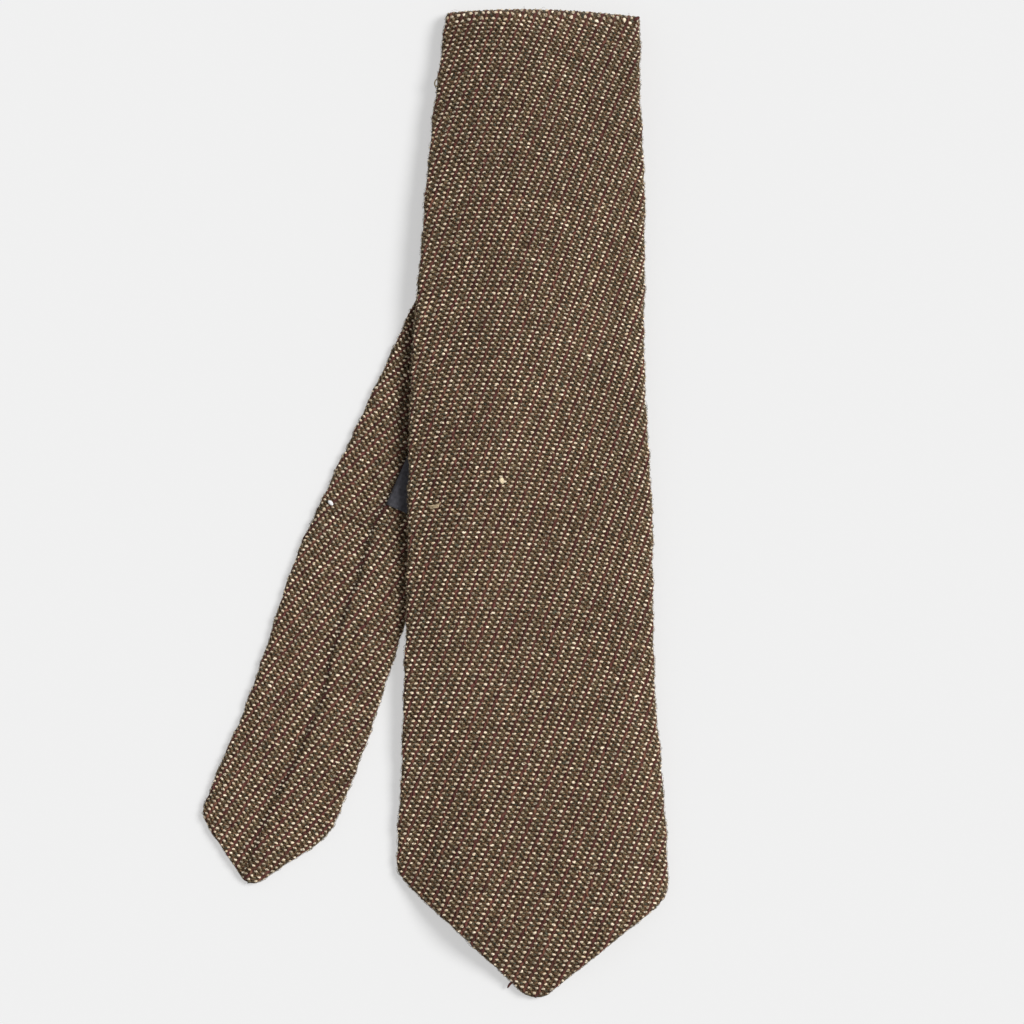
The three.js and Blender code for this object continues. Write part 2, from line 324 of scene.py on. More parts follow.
# Waves of the outline: amount, radians for each millimetre along the edge, start
EDGE_WAVES = ((0.8, 1.21, 0.0), (0.9, 0.43, 1.0), (0.5, 0.23, 0.0))
ROUNDING_LEAST = 0.02
FLOOR_CLEAR = 0.02


def edge_wave(s):
    """How far the outline stands out or in along its edges, as a share of EDGE_WAVE."""
    waves = sum(amount * np.sin(rate * s + start) for amount, rate, start in EDGE_WAVES)
    return waves / sum(amount for amount, _, _ in EDGE_WAVES)


def surface(s, w, height, side):
    """A point over one face: w runs across the face and on round its edges, height stands off it."""
    left, right = edges(s)
    edge = edge_radius((right - left) / 2)
    end = np.minimum(s, TOTAL_LENGTH - s)
    rounding = np.clip(2 * end / CLOTH_THICKNESS, ROUNDING_LEAST, 1)
    depth = CLOTH_THICKNESS / 2 * np.sqrt(rounding * (2 - rounding))
    inner = np.clip(w, left + edge, right - edge)
    angle = np.clip((w - inner) / edge, -math.pi, math.pi)
    over = smooth((abs(angle) - EDGE_FROM) / EDGE_FADE)
    height = height * (1 - EDGE_FLAT * over) + EDGE_WAVE * over * edge_wave(s + angle)
    sunk = np.where(side == BACK, groove(s, w), 0)
    t = inner + (edge + height) * np.sin(angle)
    h = side * (depth + height - sunk) * np.cos(angle)
    points = place(s, t, h) + SHIFT
    points[:, 2] = np.maximum(points[:, 2], FLOOR_CLEAR)
    return points * MM


# Knit lattice. Its columns, to the right, and its rows, towards the tip, are counted from an origin,
# over units of 100 mm: each term is a power of the place across, a power of the distance from the
# tip, and an amount.
LATTICE_UNIT = 100
FRONT_KNIT = {
    "origin": (0, 0),
    "columns": (
        (1, 0, 37.1), (0, 1, -19.2), (1, 1, 2.1), (0, 2, 1.75),
        (0, 3, -0.36), (2, 0, 2.1), (2, 1, -1.95), (3, 0, 5.5),
    ),
    "rows": (
        (1, 0, -5.0), (0, 1, -55.9), (1, 1, 1.1), (0, 2, -1.5),
        (2, 0, 4.0), (2, 1, -11.2), (1, 2, -0.77), (3, 0, -1.8),
        (2, 8, 0.0007), (3, 8, 0.00154),
    ),
}
TAIL_LEFT_KNIT = {
    "origin": (2.65, -2),
    "columns": ((1, 0, 40.7), (0, 1, -8.6), (0, 2, -3.0), (2, 0, -10.0)),
    "rows": ((1, 0, 5.4), (0, 1, -59.5), (0, 2, -1.0), (2, 0, 12.0)),
}
TAIL_RIGHT_KNIT = {
    "origin": (2.65, -2),
    "columns": ((1, 0, 42.3), (0, 1, -17.4), (0, 2, 2.8), (2, 0, 6.5)),
    "rows": ((1, 0, 6.0), (0, 1, -59.7), (0, 2, -0.6), (2, 0, 10.0)),
}
PLAIN_KNIT = {
    "origin": (0, 0),
    "columns": ((1, 0, 40.0), (0, 1, -16.0)),
    "rows": ((1, 0, 3.0), (0, 1, -60.0)),
}


def lattice_place(knit, t, d):
    origin_t, origin_d = knit["origin"]
    return (t - origin_t) / LATTICE_UNIT, (d - origin_d) / LATTICE_UNIT


def turns(knit, t, d):
    """Columns and rows that a lattice counts up to a place."""
    x, y = lattice_place(knit, t, d)
    return [sum(amount * x**i * y**j for i, j, amount in knit[key]) for key in ("columns", "rows")]


def slopes(knit, key, t, d):
    x, y = lattice_place(knit, t, d)
    by_t = sum(amount * i * x ** max(0, i - 1) * y**j for i, j, amount in knit[key])
    by_d = sum(amount * j * x**i * y ** max(0, j - 1) for i, j, amount in knit[key])
    return by_t / LATTICE_UNIT, by_d / LATTICE_UNIT


def reach(knit, t, d, columns, rows):
    """How far, across and along, a step of so many columns and rows reaches from a place."""
    column_t, column_d = slopes(knit, "columns", t, d)
    row_t, row_d = slopes(knit, "rows", t, d)
    size = column_t * row_d - column_d * row_t
    return (columns * row_d - rows * column_d) / size, (rows * column_t - columns * row_t) / size


# Newton's method: its steps, and how near it has to come to a stitch's place, in turns
NEWTON_STEPS = 12
FOUND = 0.001

# The pattern repeats after so many columns, which are counted over a grid of places on a face
REPEAT = 2
COUNT_REACH = 60
COUNT_ACROSS, COUNT_ALONG = 40, 60


class Patch(namedtuple("Patch", "knit side near far from_tail inside")):
    """A face of the strip with one lattice: its stitches lie where inside() says so."""

    @property
    def centre(self):
        return 0, (self.near + self.far) / 2

    def along(self, d):
        return TOTAL_LENGTH - d if self.from_tail else d

    def counts(self):
        """Whole columns, in steps of one repeat, and whole rows over the face."""
        t = np.linspace(-COUNT_REACH, COUNT_REACH, COUNT_ACROSS)[:, None]
        d = np.linspace(self.near, self.far, COUNT_ALONG)
        columns, rows = turns(self.knit, t, d)
        found = columns / REPEAT, rows
        whole = [np.arange(math.floor(each.min()), math.ceil(each.max()) + 1.0) for each in found]
        column, row = np.meshgrid(*whole, indexing="ij")
        return column.ravel() * REPEAT, row.ravel()

    def locate(self, column, row):
        """The place (w, s) at which the lattice counts a column and a row, by Newton's method."""
        t, d = self.centre
        for _ in range(NEWTON_STEPS):
            columns, rows = turns(self.knit, t, d)
            step_t, step_d = reach(self.knit, t, d, column - columns, row - rows)
            t, d = t + step_t, d + step_d
        return t, self.along(d)

    def keep(self, column, row):
        w, s = self.locate(column, row)
        columns, rows = turns(self.knit, w, self.along(s))
        found = (abs(columns - column) < FOUND) & (abs(rows - row) < FOUND)
        return found & (abs(w) < BLADE_WIDTH) & self.inside(w, s)


# Where stitches lie: past the top fold, short of the tips and of the seam, and only where they show
EDGE_WRAP = math.pi * CLOTH_THICKNESS / 2
TOP_WRAP = 14
STITCH_INSET = 0.5
TAIL_HIDDEN_INSET = 9
TAIL_SHOWN = 240
SEAM_CLEAR_LEFT, SEAM_CLEAR_RIGHT = 0.85, 0.65


def within_edges(w, s):
    """On the face or on the half turn of the cloth round each of its edges."""
    left, right = edges(s)
    over = (math.pi - 1) * edge_radius((right - left) / 2)
    return (w > left - over) & (w < right + over)


def on_front(w, s):
    return within_edges(w, s) & (s > STITCH_INSET) & (s < BLADE_LENGTH + TOP_WRAP)


def on_tail(w, s):
    """Where the tail shows: not under the blade, apart from a strip along the blade's left edge."""
    point = plan_point(3, s, w)
    left, _ = edges(np.clip(point[:, 1], 0, BLADE_LENGTH))
    shows = (point[:, 0] < left + TAIL_HIDDEN_INSET) & (s > TOTAL_LENGTH - TAIL_SHOWN)
    return within_edges(w, s) & shows & (s < TOTAL_LENGTH - STITCH_INSET)


def on_tail_left(w, s):
    return on_tail(w, s) & (w < seam_t(s) - SEAM_CLEAR_LEFT)


def on_tail_right(w, s):
    return on_tail(w, s) & (w > seam_t(s) + SEAM_CLEAR_RIGHT)


PATCHES = {
    "front": Patch(FRONT_KNIT, FRONT, 0, BLADE_LENGTH + TOP_WRAP, False, on_front),
    "tail_left": Patch(TAIL_LEFT_KNIT, BACK, 0, TAIL_SHOWN, True, on_tail_left),
    "tail_right": Patch(TAIL_RIGHT_KNIT, BACK, 0, TAIL_SHOWN, True, on_tail_right),
}

# Stitches: where each lies in its repeat of columns and half its length, in turns of the lattice,
# how far its direction follows the lattice where that bends, then half its width and how far it
# stands off the cloth, in millimetres, and how uneven it is
Stitch = namedtuple("Stitch", "at long follow width rise uneven")
STITCHES = {
    "wide_dots": Stitch((0.0, 0.0), (0.27, -0.02), 0.3, 0.42, 0.46, 1.2),
    "small_dots": Stitch((0.88, 0.02), (0.24, -0.02), 0.3, 0.38, 0.4, 1.2),
    "ribs": Stitch((0.44, 0.5), (0.0, 0.58), 1.0, 0.54, 0.22, 1.3),
    "strands": Stitch((1.3, 0.35), (0.24, 0.14), 0.5, 0.31, 0.14, 2.1),
    "flecks": Stitch((1.6, 0.85), (0.22, 0.03), 0.5, 0.28, 0.1, 2.4),
}
RIB_ZIGZAG = 0.06
RIB_LEAN = 0.4
SINK = 0.45
CREASE_FLAT = 0.6
CREASE_FLAT_REACH = 5
RING_POINTS = 8
SHOULDER = 0.74
SHOULDER_RISE = 0.6
# Painted shade and highlight on each stitch: its tone is darkest at the ring on the cloth and lighter than
# its own colour at the crown
PAINTED_BASE_SHADE, PAINTED_SHOULDER_SHADE, PAINTED_CROWN_HIGHLIGHT = 0.3, 0.95, 1.08
JITTER = 0.06
SIZE_SPREAD = 0.13
TILT_SPREAD = 0.3
SHADE_SPREAD = 0.3
TONE_SPREAD = 0.17
TONE_LEAST, TONE_MOST = 0.45, 1.35
PATCH_SPREAD = 0.09
# Waves of tone: radians for each millimetre along and across, start
PATCH_WAVES = ((0.021, 0.043, 0.5), (0.055, -0.031, 2.1), (0.013, 0.11, 4.0), (-0.083, 0.17, 1.3))
STREAK_SPREAD = 0.12
STREAK_ROWS = 7
SLUB_SPREAD = 0.12
SLUB_COLUMNS = 7
RUN_LINES, RUN_BLOCKS = 500, 120
SEAM_SHADE = 0.3
SEAM_SHADE_REACH = 1.2
TOP_SHADE = 0.08
TOP_SHADE_FROM, TOP_SHADE_REACH = 240, 80
SEED = 7


def grain():
    """One plump stitch: a ring on the cloth, a shoulder ring and a crown, its triangles, and its tone:
    painted shade at the ring and a painted highlight on the crown.
    """
    n = RING_POINTS
    angles = np.arange(n) * 2 * math.pi / n
    circle = np.column_stack((np.cos(angles), np.sin(angles)))
    around = np.vstack((circle, circle * SHOULDER, np.zeros((1, 2))))
    rise = np.repeat((0.0, SHOULDER_RISE, 1.0), (n, n, 1))
    tone = np.repeat((PAINTED_BASE_SHADE, PAINTED_SHOULDER_SHADE, PAINTED_CROWN_HIGHLIGHT), (n, n, 1))
    faces = []
    for i in range(n):
        after = (i + 1) % n
        faces += [(i, after, n + i), (after, n + after, n + i), (n + i, n + after, 2 * n)]
    return around, rise, tone, np.array(faces)


def patches_of_tone(s, w):
    """Soft lighter and darker patches, as a share of PATCH_SPREAD."""
    waves = sum(np.sin(along * s + across * w + start) for along, across, start in PATCH_WAVES)
    return waves / len(PATCH_WAVES)


def runs(line, at, length, random):
    """Lighter and darker runs along the lines of a lattice: one amount for each stretch, blended."""
    number = np.floor(line).astype(int) + RUN_LINES // 2
    block = at / length + RUN_BLOCKS // 2
    before = np.floor(block).astype(int)
    amounts = random.standard_normal((RUN_LINES, RUN_BLOCKS))
    share = block - before
    return amounts[number, before] * (1 - share) + amounts[number, before + 1] * share


def seam_shade(side, w, s):
    """Share of its colour that the knit keeps beside the centre seam."""
    near = np.exp(-(((w - seam_t(s)) / SEAM_SHADE_REACH) ** 2))
    return 1 - SEAM_SHADE * np.where(side == BACK, near, 0)


def top_shade(s):
    """Share of its colour that the knit keeps towards the top fold, where it turns down a little."""
    return 1 - TOP_SHADE * smooth((s - TOP_SHADE_FROM) / TOP_SHADE_REACH) * (s < TAIL_START)


def stitch_mesh(patch, kind, random):
    """All the stitches of one kind on one patch: points, triangles, tone, shade and yarn places."""
    stitch = STITCHES[kind]
    column, row = patch.counts()
    column = column + stitch.at[0]
    row = row + stitch.at[1]
    kept = patch.keep(column, row)
    column, row = column[kept], row[kept]
    count = len(column)

    def spread(amount):
        return stitch.uneven * amount * random.standard_normal(count)

    centre_w, centre_s = patch.locate(column, row)
    shared = np.random.default_rng(SEED)
    tone = 1 + spread(TONE_SPREAD) + STREAK_SPREAD * runs(column / REPEAT, row, STREAK_ROWS, random)
    tone = tone + SLUB_SPREAD * runs(row, column, SLUB_COLUMNS, shared)
    tone = tone * (1 + PATCH_SPREAD * patches_of_tone(centre_s, centre_w)) * top_shade(centre_s)
    tone = np.clip(tone, TONE_LEAST, TONE_MOST) * seam_shade(patch.side, centre_w, centre_s)
    turn = np.where(np.floor(row) % 2 == 0, 1, -1) if kind == "ribs" else 0
    column = column + turn * RIB_ZIGZAG + spread(JITTER)
    row = row + spread(JITTER)
    length = 1 + spread(SIZE_SPREAD)
    width = 1 + spread(SIZE_SPREAD)
    tilt = turn * RIB_LEAN + spread(TILT_SPREAD)
    shade = spread(SHADE_SPREAD)
    around, rise, painted_ring_shade, faces = grain()
    u = around[:, 0] * length[:, None]
    v = around[:, 1] * width[:, None] + u * tilt[:, None]
    w, s = patch.locate(column, row)
    here = reach(patch.knit, w, patch.along(s), *stitch.long)
    usual = reach(patch.knit, *patch.centre, *stitch.long)
    evened = np.minimum(1, np.hypot(*usual) / np.hypot(*here)) if stitch.follow < 1 else 1
    long_w, long_d = (
        local * evened * stitch.follow + common * (1 - stitch.follow)
        for local, common in zip(here, usual)
    )
    unit = stitch.width / np.hypot(long_w, long_d)
    w = w[:, None] + u * long_w[:, None] - v * (unit * long_d)[:, None]
    d = patch.along(s)[:, None] + u * long_d[:, None] + v * (unit * long_w)[:, None]
    flat = 1 - CREASE_FLAT * np.exp(-(((s - BLADE_LENGTH) / CREASE_FLAT_REACH) ** 2))
    height = -SINK + (SINK + stitch.rise * flat[:, None]) * rise
    points = surface(patch.along(d).ravel(), w.ravel(), height.ravel(), patch.side)
    start = np.arange(count)[:, None, None] * len(around)
    return {
        "points": points,
        "faces": (faces + start).reshape(-1, 3),
        # Each stitch's tone, times the painted shade at its foot and the painted highlight on its crown
        "tone": (tone[:, None] * painted_ring_shade).ravel(),
        "shade": np.clip(0.5 + 0.5 * u + shade[:, None], 0, 1).ravel(),
        "yarn": np.column_stack((u.ravel(), v.ravel(), np.repeat(random.random(count), len(around)))),
    }


def join(parts):
    """Several meshes of the same kind as one."""
    starts = np.cumsum([0] + [len(part["points"]) for part in parts[:-1]])
    joined = {key: np.concatenate([part[key] for part in parts]) for key in parts[0] if key != "faces"}
    joined["faces"] = np.concatenate([part["faces"] + start for part, start in zip(parts, starts)])
    return joined


def new_object(name, data):
    made = bpy.data.objects.new(name, data)
    bpy.context.scene.collection.objects.link(made)
    return made


# Values that a material reads at each point, with the kind and the field that Blender keeps them in
LAYERS = {"tone": ("FLOAT", "value"), "shade": ("FLOAT", "value"), "yarn": ("FLOAT_VECTOR", "vector")}


def make_piece(name, mesh_data, material):
    """One object of the tie, from points, triangles and layers."""
    mesh = bpy.data.meshes.new(name)
    mesh.from_pydata(mesh_data["points"].tolist(), [], mesh_data["faces"].tolist())
    mesh.polygons.foreach_set("use_smooth", np.full(len(mesh_data["faces"]), True))
    for key, (kind, field) in LAYERS.items():
        if key in mesh_data:
            layer = mesh.attributes.new(key, kind, "POINT")
            layer.data.foreach_set(field, mesh_data[key].astype(np.float32).ravel())
    if "knit" in mesh_data:
        layer = mesh.uv_layers.new(name="knit")
        layer.data.foreach_set("uv", mesh_data["knit"].astype(np.float32).ravel())
    mesh.materials.append(material)
    piece = new_object(name, mesh)
    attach(piece, "root")
    return piece


def closed_tube(length, sides):
    """Triangles of rings one after another, closed at both ends."""
    ring, i = np.meshgrid(np.arange(length - 1), np.arange(sides), indexing="ij")
    a = (ring * sides + i).ravel()
    b = (ring * sides + (i + 1) % sides).ravel()
    inner = np.arange(1, sides - 1)
    hub = 0 * inner
    return np.vstack((
        np.column_stack((a, b, a + sides)),
        np.column_stack((b, b + sides, a + sides)),
        np.column_stack((hub, inner + 1, inner)),
        np.column_stack((hub, inner, inner + 1)) + (length - 1) * sides,
    ))


# Threads: how far from its ends a thread's thickness is read, and the turns of its yarn to a point
THREAD_END = 0.04
THREAD_TWIST = 0.25
THREAD_SIDES = 7
THREAD_POINTS = 24
PATH_PASSES = 2
LEAST_LENGTH = 1e-6


def tubes(paths, radii, sides):
    """Round threads along many paths of the same number of points, with closed, thinner ends."""
    count, length = paths.shape[:2]
    along = np.gradient(paths, axis=1)
    along /= np.linalg.norm(along, axis=2, keepdims=True)
    up = np.broadcast_to((0.0, 0.0, 1.0), along.shape)
    across = np.cross(along, up)
    across /= np.maximum(np.linalg.norm(across, axis=2, keepdims=True), LEAST_LENGTH)
    over = np.cross(across, along)
    angles = np.arange(sides) * 2 * math.pi / sides
    share = np.linspace(THREAD_END, 1 - THREAD_END, length)
    radius = radii[:, None] * np.sqrt(np.clip(4 * share * share[::-1], 0, 1))
    cosine, sine = np.cos(angles), np.sin(angles)
    ring = across[:, :, None, :] * cosine[:, None] + over[:, :, None, :] * sine[:, None]
    points = paths[:, :, None, :] + ring * radius[:, :, None, None]
    size = length * sides
    faces = closed_tube(length, sides) + np.arange(count)[:, None, None] * size
    turn = np.linspace(-1, 1, length) * length * THREAD_TWIST
    u = np.broadcast_to(turn[:, None], (count, length, sides))
    v = np.broadcast_to(cosine, (count, length, sides))
    return {
        "points": points.reshape(-1, 3),
        "faces": faces.reshape(-1, 3),
        "yarn": np.column_stack((u.ravel(), v.ravel(), np.zeros(count * size))),
        "tone": np.ones(count * size),
        "shade": np.zeros(count * size),
    }


def thread(path, radius, sides):
    """One round thread along one path."""
    return tubes(path[None, :, :], np.array([radius * MM]), sides)


def smooth_path(places, count):
    """The three coordinates of a smooth line through a few places."""
    places = np.array(places, float)
    at = np.linspace(0, len(places) - 1, count)
    lines = [np.interp(at, np.arange(len(places)), column) for column in places.T]
    for line in lines * PATH_PASSES:
        line[1:-1] = (line[:-2] + 2 * line[1:-1] + line[2:]) / 4
    return lines


def thread_path(places, side, count):
    """A thread over one face: places (w, s, height over the face)."""
    w, s, height = smooth_path(places, count)
    return surface(s, w, height, side)


def free_path(places, count):
    """A thread beside the blade: places across and along it, and over its middle."""
    x, y, z = smooth_path(places, count)
    z = z + lay_height(0, np.column_stack((x, y)))
    return (np.column_stack((x, y, z)) + SHIFT) * MM


# Loose hairs all over the cloth, and shorter fuzz along its edges
HAIR_POINTS = 6
HAIR_SIDES = 3
HAIR_RISE = (0.35, 1.0)
HAIR_CURL = 0.9
HAIR_ARCH = 0.8
HAIR_TRIES = 6
FUZZ_BAND = (-0.1, 0.35)
HAIRS = (
    # number on each patch, lengths, radii, only at the edges
    ((1100, 190, 190), (1.4, 4.2), (0.024, 0.042), False),
    ((2300, 640, 640), (0.7, 2.0), (0.04, 0.07), True),
)


def hairs(patch, count, lengths, radii, at_edges, random):
    """Loose wool hairs that leave the cloth, curl over it and end in the air."""
    tries = count * HAIR_TRIES
    s = patch.along(random.uniform(patch.near + STITCH_INSET, patch.far - STITCH_INSET, tries))
    left, right = edges(s)
    if at_edges:
        past = EDGE_WRAP * random.uniform(*FUZZ_BAND, tries)
        w = np.where(random.random(tries) < 0.5, left - past, right + past)
    else:
        w = left - EDGE_WRAP / 2 + (right - left + EDGE_WRAP) * random.random(tries)
    kept = patch.inside(w, s)
    s, w = s[kept][:count], w[kept][:count]
    share = np.linspace(0, 1, HAIR_POINTS)
    length = random.uniform(*lengths, len(s))
    turn = random.uniform(0, 2 * math.pi, len(s))
    curl = HAIR_CURL * random.standard_normal(len(s))
    angle = turn[:, None] + curl[:, None] * share
    step = length[:, None] / (HAIR_POINTS - 1)
    path_w = w[:, None] + np.cumsum(step * np.cos(angle), axis=1)
    path_s = s[:, None] + np.cumsum(step * np.sin(angle), axis=1)
    rise = random.uniform(*HAIR_RISE, len(s))
    height = rise[:, None] * np.sin(share * math.pi * HAIR_ARCH)
    path_s = np.clip(path_s, TIP_TRIM, TOTAL_LENGTH - TIP_TRIM)
    points = surface(path_s.ravel(), path_w.ravel(), height.ravel(), patch.side)
    paths = points.reshape(len(s), HAIR_POINTS, 3)
    mesh_data = tubes(paths, random.uniform(*radii, len(s)) * MM, HAIR_SIDES)
    mesh_data["shade"] = np.repeat(random.random(len(s)), HAIR_POINTS * HAIR_SIDES)
    return mesh_data


# Slip stitches that close the tail's centre seam
SLIP_FROM, SLIP_TO = TAIL_SEAM_END + 3, TAIL_LENGTH - 20
SLIP_PITCH = 7.5
SLIP_WANDER = 1
SLIP_RADIUS = 0.14
SLIP_POINTS, SLIP_SIDES = 10, 6
# Places of one of them: across the seam, along it, over the face
SLIP_PATH = (
    (-1.3, 0.6, -0.5), (-0.65, 0.3, 0.12), (0.0, 0.0, 0.62), (0.65, -0.3, 0.12), (1.3, -0.6, -0.5),
)


def slip_stitches(random):
    """Short slanted threads across the tail's seam."""
    from_tip = np.arange(SLIP_FROM, SLIP_TO, SLIP_PITCH)
    from_tip = from_tip + random.uniform(-SLIP_WANDER, SLIP_WANDER, len(from_tip))
    parts = []
    for s in TOTAL_LENGTH - from_tip:
        seam = seam_t(s)
        places = [(seam + across, s + along, height) for across, along, height in SLIP_PATH]
        parts.append(thread(thread_path(places, BACK, SLIP_POINTS), SLIP_RADIUS, SLIP_SIDES))
    return join(parts)


# Lumps of fibre: how far from its poles a lump is cut flat, and its tone, with painted shade at the foot
# and a painted highlight rising up to its top
LUMP_TOP = 0.25
LUMP_RINGS, LUMP_SIDES = 8, 14
LUMP_SHADED_FOOT_TONE, LUMP_HIGHLIGHT_RISE = 0.75, 0.35


def lump(centre, size, turn, side, bumps, random):
    """A small irregular lump of fibre that sits on a face, its size along w, along s and in height."""
    latitude = np.linspace(LUMP_TOP, math.pi - LUMP_TOP, LUMP_RINGS)[:, None]
    longitude = (np.arange(LUMP_SIDES) * 2 * math.pi / LUMP_SIDES)[None, :]
    swell = 1 + bumps * random.standard_normal((LUMP_RINGS, LUMP_SIDES))
    x = (np.sin(latitude) * np.cos(longitude) * swell * size[0]).ravel()
    y = (np.sin(latitude) * np.sin(longitude) * swell * size[1]).ravel()
    z = (np.cos(latitude) * swell * size[2]).ravel()
    w = centre[0] + x * math.cos(turn) - y * math.sin(turn)
    s = centre[1] + x * math.sin(turn) + y * math.cos(turn)
    return {
        "points": surface(s, w, centre[2] + z, side),
        "faces": closed_tube(LUMP_RINGS, LUMP_SIDES)[:, ::-1],
        "yarn": np.column_stack((x, y, np.zeros(len(w)))),
        # Painted shade at the lump's foot, lightening to a painted highlight at its top
        "tone": LUMP_SHADED_FOOT_TONE + LUMP_HIGHLIGHT_RISE * (z / size[2]).clip(0, 1),
        "shade": np.zeros(len(w)),
    }


# Cloth under the stitches
CLOTH_SINK = 0.3
CLOTH_STEP = 3
CREASE_STEP = 0.8
CREASE_FINE = 9
TIP_STEP = 1.2
TIP_FINE = 14
HALF_FACE_POINTS = 12
SEAM_POINTS = (-0.6, -0.3, 0.0, 0.3, 0.6)
SEAM_MARGIN = 2.2
SEAM_ROOM, MARGIN_ROOM = 0.3, 0.4
TURN_POINTS = 7
PIECE_GAP = 0.3
SEAM_SLOPE = 1
SLANT_HOLD = 10
SLANTS = np.array((
    # place s, how much a cross-section there is slanted
    (0, 0),
    (BLADE_LENGTH, 0),
    (NECK_FROM_BLADE, SEAM_SLOPE),
    (LOW_CREASE, math.tan(NECK_LEAN / 2)),
    (TAIL_START, SEAM_SLOPE),
    (TAIL_CREASE, -math.tan((TAIL_LEAN - NECK_LEAN) / 2)),
    (TOTAL_LENGTH, 0),
))


def slant(s):
    after = np.clip(np.searchsorted(SLANTS[:, 0], s), 1, len(SLANTS) - 1)
    (from_s, from_slope), (to_s, to_slope) = SLANTS[after - 1], SLANTS[after]
    share = smooth((s - from_s - SLANT_HOLD) / (to_s - from_s - 2 * SLANT_HOLD))
    return from_slope + (to_slope - from_slope) * share


def stations(start, stop):
    """Places of the cross-sections: closer together at the creases and at the tips."""
    places = [start]
    while places[-1] < stop:
        s = places[-1]
        near_crease = any(abs(s - crease) < CREASE_FINE for crease in CREASE_PLACES)
        near_tip = min(s, TOTAL_LENGTH - s) < TIP_FINE
        places.append(s + (CREASE_STEP if near_crease else TIP_STEP if near_tip else CLOTH_STEP))
    return np.array(places[:-1] + [stop])


def cloth_ring(s):
    """Strip coordinates of one cross-section: front from left to right, then the back."""
    left, right = edges(s)
    half = (right - left) / 2
    edge = edge_radius(half)
    room = half - edge
    wander = SEAM_ROOM * room
    seam = np.clip(seam_t(s), left + half - wander, left + half + wander)
    margin = min(SEAM_MARGIN, MARGIN_ROOM * room)
    flat = np.concatenate((
        np.linspace(left + edge, seam - margin, HALF_FACE_POINTS),
        seam + margin * np.array(SEAM_POINTS),
        np.linspace(seam + margin, right - edge, HALF_FACE_POINTS),
    ))
    past = np.linspace(0, math.pi / 2 * edge, TURN_POINTS)[1:]
    front = np.concatenate((left + edge - past[::-1], flat, right - edge + past))
    back = front[1:-1][::-1]
    w = np.concatenate((front, back))
    side = np.repeat((FRONT, BACK), (len(front), len(back)))
    slid = s + slant(s) * np.clip(w - left - half, -half, half)
    there_left, there_right = edges(slid)
    stretch = (there_right - there_left) / (right - left)
    return slid, (there_left + there_right) / 2 + (w - left - half) * stretch, side


def knit_places(s, w, side, faces):
    """Counts of the lattice at each corner of each face, all three by the face's own lattice."""
    face_s, face_w = s[faces].mean(axis=1), w[faces].mean(axis=1)
    front = side[faces].mean(axis=1) > 0
    tail = ~front & (face_s > TAIL_CREASE)
    regions = (
        (np.ones(len(faces), bool), PLAIN_KNIT, s),
        (front & (face_s < BLADE_LENGTH + TOP_WRAP), FRONT_KNIT, s),
        (tail & (face_w < seam_t(face_s)), TAIL_LEFT_KNIT, TOTAL_LENGTH - s),
        (tail & (face_w >= seam_t(face_s)), TAIL_RIGHT_KNIT, TOTAL_LENGTH - s),
    )
    places = np.zeros((*faces.shape, 2))
    for held, knit, d in regions:
        columns, rows = turns(knit, w, d)
        own = np.column_stack((columns / REPEAT, rows))
        places[held] = own[faces[held]]
    return places


def cloth_piece(name, start, stop, stitched, material):
    """A stretch of the strip as a closed cloth, a little sunk on the side that carries stitches."""
    rings = [cloth_ring(s) for s in stations(start, stop)]
    s, w, side = (np.concatenate(column) for column in zip(*rings))
    faces = closed_tube(len(rings), len(rings[0][0]))
    mesh_data = {
        "points": surface(s, w, np.where(side == stitched, -CLOTH_SINK, 0), side),
        "faces": faces,
        "tone": seam_shade(side, w, s) ** 2,
        "knit": knit_places(s, w, side, faces),
    }
    return make_piece(name, mesh_data, material)


# Care label: a thin ribbon, its left edge drawn down into the seam
RIBBON_THICKNESS = 0.4
RIBBON_LIFT = 0.45
RIBBON_TUCK = 1.4
RIBBON_TUCK_DEPTH = 0.9
RIBBON_WAVE = 0.12
RIBBON_WAVE_ALONG, RIBBON_WAVE_ACROSS = 0.55, 0.4
RIBBON_GRID = (19, 37)


def label_ribbon(material):
    """The ribbon: a grid of points for its top, one for its underside, and a wall round its rim."""
    grid = (np.linspace(0, size, count) for size, count in zip((LABEL_WIDTH, LABEL_LENGTH), RIBBON_GRID))
    across, along = (axis.ravel() for axis in np.meshgrid(*grid))
    plan = LABEL_LOW + along[:, None] * LABEL_ALONG + across[:, None] * LABEL_ACROSS
    tuck = RIBBON_TUCK_DEPTH * (1 - smooth(across / RIBBON_TUCK))
    wave = RIBBON_WAVE * np.sin(along * RIBBON_WAVE_ALONG) * np.cos(across * RIBBON_WAVE_ACROSS)
    low = CLOTH_THICKNESS + RIBBON_LIFT + wave - tuck
    count = len(across)
    number = np.arange(count).reshape(RIBBON_GRID[::-1])
    corners = (number[:-1, :-1], number[:-1, 1:], number[1:, 1:], number[1:, :-1])
    quads = np.column_stack([corner.ravel() for corner in corners])
    rim = np.concatenate((number[0], number[1:, -1], number[-1, -2::-1], number[-2:0:-1, 0]))
    after = np.roll(rim, -1)
    wall = np.column_stack((rim, rim + count, after + count, after))
    quads = np.vstack((quads, (quads + count)[:, ::-1], wall))
    faces = np.vstack((quads[:, [0, 1, 2]], quads[:, [0, 2, 3]]))
    yarn = np.column_stack((across, along, np.zeros(count)))
    top, bottom = (np.column_stack((plan, low + over)) for over in (RIBBON_THICKNESS, 0))
    mesh_data = {
        "points": (np.vstack((top, bottom)) + SHIFT) * MM,
        "faces": faces,
        "yarn": np.vstack((yarn, yarn)),
    }
    return make_piece("label_ribbon", mesh_data, material)


# Shading
WHITE = (1, 1, 1)
SHEEN_ROUGHNESS = 0.5


